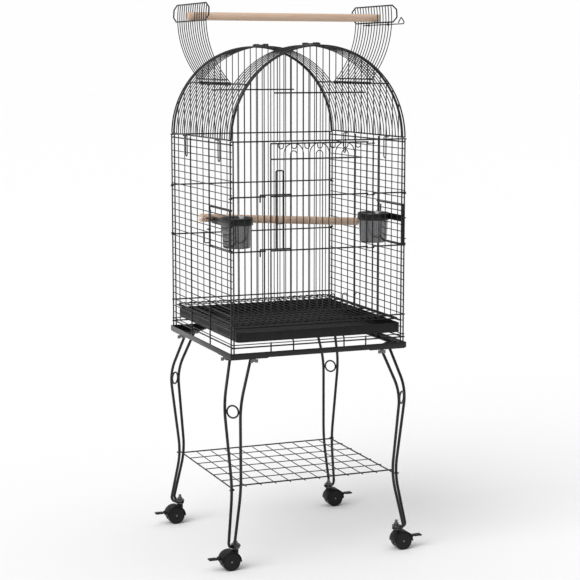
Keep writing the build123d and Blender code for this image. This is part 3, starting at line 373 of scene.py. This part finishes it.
def spun(profile, centre, axis, steps=96, closed=False):
    """A solid of revolution from (radius, height) points about an axis."""
    form = bmesh.new()
    verts = [form.verts.new((radius, 0, height)) for radius, height in profile]
    pairs = list(zip(verts, verts[1:]))
    if closed:
        pairs.append((verts[-1], verts[0]))
    edges = [form.edges.new(pair) for pair in pairs]
    bmesh.ops.spin(
        form, geom=verts + edges, cent=(0, 0, 0), axis=AXIS_Z, angle=math.tau,
        steps=steps, use_merge=True,
    )
    bmesh.ops.remove_doubles(form, verts=form.verts, dist=MERGE_SPUN)
    turn = Vector(AXIS_Z).rotation_difference(Vector(axis)).to_matrix().to_4x4()
    bmesh.ops.transform(form, matrix=Matrix.Translation(centre) @ turn, verts=form.verts)
    bmesh.ops.recalc_face_normals(form, faces=form.faces)
    return form


def joined(forms):
    """Several bmeshes made one."""
    whole = bmesh.new()
    for form in forms:
        mesh = bpy.data.meshes.new("joined")
        form.to_mesh(mesh)
        form.free()
        whole.from_mesh(mesh)
        bpy.data.meshes.remove(mesh)
    return whole


def arc(centre_r, centre_z, radius, start, end, steps=6):
    """Profile points on an arc, its angles in degrees from outwards to upwards."""
    angles = [math.radians(start + (end - start) * step / steps) for step in range(steps + 1)]
    return [
        (centre_r + radius * math.cos(angle), centre_z + radius * math.sin(angle))
        for angle in angles
    ]


class CAGE_OT_wires(bpy.types.Operator):
    """Give the coated wire work and sheet metal its powder coat"""

    bl_idname = "cage.wires"
    bl_label = "Wire work"
    bl_options = {"REGISTER", "UNDO"}

    def execute(self, context):
        sizes = context.scene.cage_sizes
        colours = context.scene.cage_colours
        finish = powder_coat(colours)
        sheet = ["stand_frame", "corner_plates", "crown_clips"]
        sheet += [f"cup_holder_{side}" for side in SIDES]
        for node in sheet:
            softened(node, f"coated_{node}", finish, sizes.sheet_edge)
        for node, slot in SLOT_OF_NODE.items():
            if slot == "powder_coat" and node not in sheet:
                coated(node, finish)
        return {"FINISHED"}


class CAGE_OT_perches(bpy.types.Operator):
    """Make the two wood perches with eased ends"""

    bl_idname = "cage.perches"
    bl_label = "Perches"
    bl_options = {"REGISTER", "UNDO"}

    def execute(self, context):
        sizes = context.scene.cage_sizes
        colours = context.scene.cage_colours
        for node in ("perch_top", "perch_inside"):
            low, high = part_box(node)
            slope = (0.0, 0.0, 0.0)
            if node == "perch_inside":
                slope = (0.0, 0.0, -math.atan2(high.y - low.y, high.x - low.x))
            finish = perch_wood(node + "_wood", colours, (low + high) / 2, slope)
            softened(node, f"turned_{node}", finish, sizes.edge, 3)
        return {"FINISHED"}


class CAGE_OT_cups(bpy.types.Operator):
    """Make the drawn steel cups with a rolled rim and a pressed foot"""

    bl_idname = "cage.cups"
    bl_label = "Cups"
    bl_options = {"REGISTER", "UNDO"}

    def execute(self, context):
        sizes = context.scene.cage_sizes
        colours = context.scene.cage_colours
        wall = sizes.cup_wall
        bead, corner, dimple = 0.0012, 0.0045, 0.0015
        taper, neck = 0.0034, 2.4 * bead
        for side in SIDES:
            node = f"cup_{side}"
            low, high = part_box(node)
            base = Vector(((low.x + high.x) / 2, (low.y + high.y) / 2, low.z))
            rim = (high.x - low.x) / 2
            height = high.z - low.z
            body = rim - 2 * bead
            foot = body - taper
            pressed, ledge = foot * 0.66, foot * 0.72
            profile = [(0, dimple), (pressed, dimple), (ledge, 0)]
            profile += arc(foot - corner, corner, corner, -90, -3)
            profile += arc(rim - bead, height - bead, bead, -125, 130, 12)
            profile += [(body - wall, height - neck)]
            profile += arc(foot - corner, corner, corner - wall, -3, -90)
            profile += [(ledge, wall), (pressed, dimple + wall), (0, dimple + wall)]
            finish = cup_steel(f"{node}_steel", colours, base)
            kept(spun(profile, base, AXIS_Z, 128), f"drawn_{node}", finish, node)
        return {"FINISHED"}


class CAGE_OT_springs(bpy.types.Operator):
    """Wind the coil springs of the feeder latches"""

    bl_idname = "cage.springs"
    bl_label = "Latch springs"
    bl_options = {"REGISTER", "UNDO"}

    def execute(self, context):
        sizes = context.scene.cage_sizes
        colours = context.scene.cage_colours
        finish = plated_steel(colours)
        wire = sizes.spring_wire
        steps, sides = 28, 12
        turns = sizes.spring_turns
        for side in SIDES:
            node = f"feeder_spring_{side}"
            low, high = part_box(node)
            middle = (low + high) / 2
            radius = (high.x - low.x) / 2 - wire / 2
            rise = (high.z - low.z - wire) / turns
            form = bmesh.new()
            section = Matrix.Translation((radius, 0, 0)) @ Matrix.Rotation(math.pi / 2, 4, "X")
            bmesh.ops.create_circle(
                form, cap_ends=True, radius=wire / 2, segments=sides, matrix=section
            )
            bmesh.ops.spin(
                form, geom=form.verts[:] + form.edges[:] + form.faces[:], cent=(0, 0, 0),
                axis=AXIS_Z, dvec=(0, 0, rise / steps), angle=math.tau * turns,
                steps=steps * turns, use_merge=False,
            )
            base = Matrix.Translation((middle.x, middle.y, low.z + wire / 2))
            bmesh.ops.transform(form, matrix=base, verts=form.verts)
            bmesh.ops.recalc_face_normals(form, faces=form.faces)
            kept(form, f"wound_{node}", finish, node)
        return {"FINISHED"}


class CAGE_OT_fasteners(bpy.types.Operator):
    """Plate the leg bolts with their wing nuts, the caster stems and the axles"""

    bl_idname = "cage.fasteners"
    bl_label = "Bolts, stems and axles"
    bl_options = {"REGISTER", "UNDO"}

    def execute(self, context):
        sizes = context.scene.cage_sizes
        colours = context.scene.cage_colours
        finish = plated_steel(colours)
        bolt_edge = sizes.sheet_edge * 0.8
        for node in ("leg_bolts", "caster_stems"):
            softened(node, f"plated_{node}", finish, bolt_edge)
        for corner in CORNERS:
            coated(f"caster_axle_{corner}", finish)
        return {"FINISHED"}


class CAGE_OT_tray(bpy.types.Operator):
    """Mould the slide out tray"""

    bl_idname = "cage.tray"
    bl_label = "Tray"
    bl_options = {"REGISTER", "UNDO"}

    def execute(self, context):
        sizes = context.scene.cage_sizes
        colours = context.scene.cage_colours
        finish = moulded_plastic("tray_plastic", colours, 0.42, 1400.0)
        softened("tray", "moulded_tray", finish, sizes.edge, 3)
        return {"FINISHED"}


class CAGE_OT_casters(bpy.types.Operator):
    """Mould the hoods, twin wheels and brake tabs of the casters"""

    bl_idname = "cage.casters"
    bl_label = "Casters"
    bl_options = {"REGISTER", "UNDO"}

    def execute(self, context):
        sizes = context.scene.cage_sizes
        colours = context.scene.cage_colours
        hood_finish = moulded_plastic("caster_plastic", colours, 0.38, 1500.0)
        wheel_finish = moulded_plastic("wheel_plastic", colours, 0.30, 900.0)
        width, bore, tread = 0.014, 0.0031, 0.0018
        inner_hub, inner_step = 0.0065, 0.0005
        outer_hub, outer_dish = 0.0120, 0.0003
        rim_hub, rim_dish, bore_dish = 0.0050, 0.0005, 0.0010
        for corner in CORNERS:
            for part in ("hood", "brake"):
                node = f"caster_{part}_{corner}"
                softened(node, f"moulded_{node}", hood_finish, sizes.edge, 3)
            node = f"caster_wheels_{corner}"
            low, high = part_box(node)
            centre = (low + high) / 2
            radius = (high.z - low.z) / 2
            profile = [
                (bore, inner_step), (inner_hub, 0.0),
                *arc(radius - tread, tread, tread, -90, 0),
                *arc(radius - tread, width - tread, tread, 0, 90),
                (outer_hub, width - outer_dish), (rim_hub, width - rim_dish),
                (bore, width - bore_dish),
            ]
            wheels = [
                spun(profile, (centre.x, face, centre.z), (0, way, 0), 96, True)
                for way, face in ((-1, low.y + width), (1, high.y - width))
            ]
            kept(joined(wheels), f"moulded_{node}", wheel_finish, node)
        return {"FINISHED"}


class CAGE_OT_stage(bpy.types.Operator):
    """Set the floor, the light and the camera"""

    bl_idname = "cage.stage"
    bl_label = "Stage"
    bl_options = {"REGISTER", "UNDO"}

    def execute(self, context):
        colours = context.scene.cage_colours
        paint = Finish("floor_paint", roughness=0.9)
        paint.set("Specular IOR Level", 0.1)
        paint.set("Base Color", tuple(colours.floor))
        form = bmesh.new()
        bmesh.ops.create_grid(form, x_segments=1, y_segments=1, size=FLOOR_SIZE)
        mesh = bpy.data.meshes.new("floor")
        form.to_mesh(mesh)
        form.free()
        mesh.materials.append(paint.material)
        floor = bpy.data.objects.new("floor", mesh)
        bpy.context.collection.objects.link(floor)

        world = bpy.data.worlds.new("studio")
        world.use_nodes = True
        bpy.context.scene.world = world
        nodes, links = world.node_tree.nodes, world.node_tree.links
        light = nodes["Background"]
        light.inputs["Color"].default_value = (1.0, 1.0, 1.0, 1.0)
        light.inputs["Strength"].default_value = WORLD_LIGHT
        seen = nodes.new("ShaderNodeBackground")
        seen.inputs["Color"].default_value = BACKDROP
        path = nodes.new("ShaderNodeLightPath")
        choice = nodes.new("ShaderNodeMixShader")
        links.new(path.outputs["Is Camera Ray"], choice.inputs["Fac"])
        links.new(light.outputs["Background"], choice.inputs[1])
        links.new(seen.outputs["Background"], choice.inputs[2])
        links.new(choice.outputs["Shader"], nodes["World Output"].inputs["Surface"])

        for name, place, power, spread in LAMPS:
            data = bpy.data.lights.new(name, "SUN")
            data.energy = power
            data.angle = math.radians(spread)
            lamp = bpy.data.objects.new(name, data)
            lamp.location = place
            aim = LAMP_AIM - Vector(place)
            lamp.rotation_euler = aim.to_track_quat("-Z", "Y").to_euler()
            bpy.context.collection.objects.link(lamp)

        data = bpy.data.cameras.new("camera")
        data.sensor_width = SENSOR_WIDTH
        data.lens = SENSOR_WIDTH * FOCAL_PIXELS / PICTURE_PIXELS
        data.clip_end = VIEW_END
        camera = bpy.data.objects.new("camera", data)
        camera.location = CAMERA_PLACE
        camera.rotation_euler = (math.pi / 2 - CAMERA_PITCH, 0.0, -CAMERA_YAW)
        bpy.context.collection.objects.link(camera)
        bpy.context.scene.camera = camera
        bpy.context.scene.view_settings.view_transform = "Standard"
        return {"FINISHED"}


STEPS = (
    CAGE_OT_wires, CAGE_OT_perches, CAGE_OT_cups, CAGE_OT_springs, CAGE_OT_fasteners,
    CAGE_OT_tray, CAGE_OT_casters, CAGE_OT_stage,
)


class CAGE_PT_panel(bpy.types.Panel):
    """Sizes, colours and steps of the cage."""

    bl_label = "Parrot Cage"
    bl_space_type = "VIEW_3D"
    bl_region_type = "UI"
    bl_category = "Cage"

    def draw(self, context):
        for group in (context.scene.cage_sizes, context.scene.cage_colours):
            for name in group.__annotations__:
                self.layout.prop(group, name)
        for step in STEPS:
            self.layout.operator(step.bl_idname)


CLASSES = (CageSizes, CageColours, *STEPS, CAGE_PT_panel)


def register():
    for cls in CLASSES:
        bpy.utils.register_class(cls)
    bpy.types.Scene.cage_sizes = PointerProperty(type=CageSizes)
    bpy.types.Scene.cage_colours = PointerProperty(type=CageColours)


def unregister():
    del bpy.types.Scene.cage_colours
    del bpy.types.Scene.cage_sizes
    for cls in reversed(CLASSES):
        bpy.utils.unregister_class(cls)


def main():
    register()
    for step in STEPS:
        getattr(bpy.ops.cage, step.bl_idname.split(".")[1])()


if __name__ == "__main__":
    main()
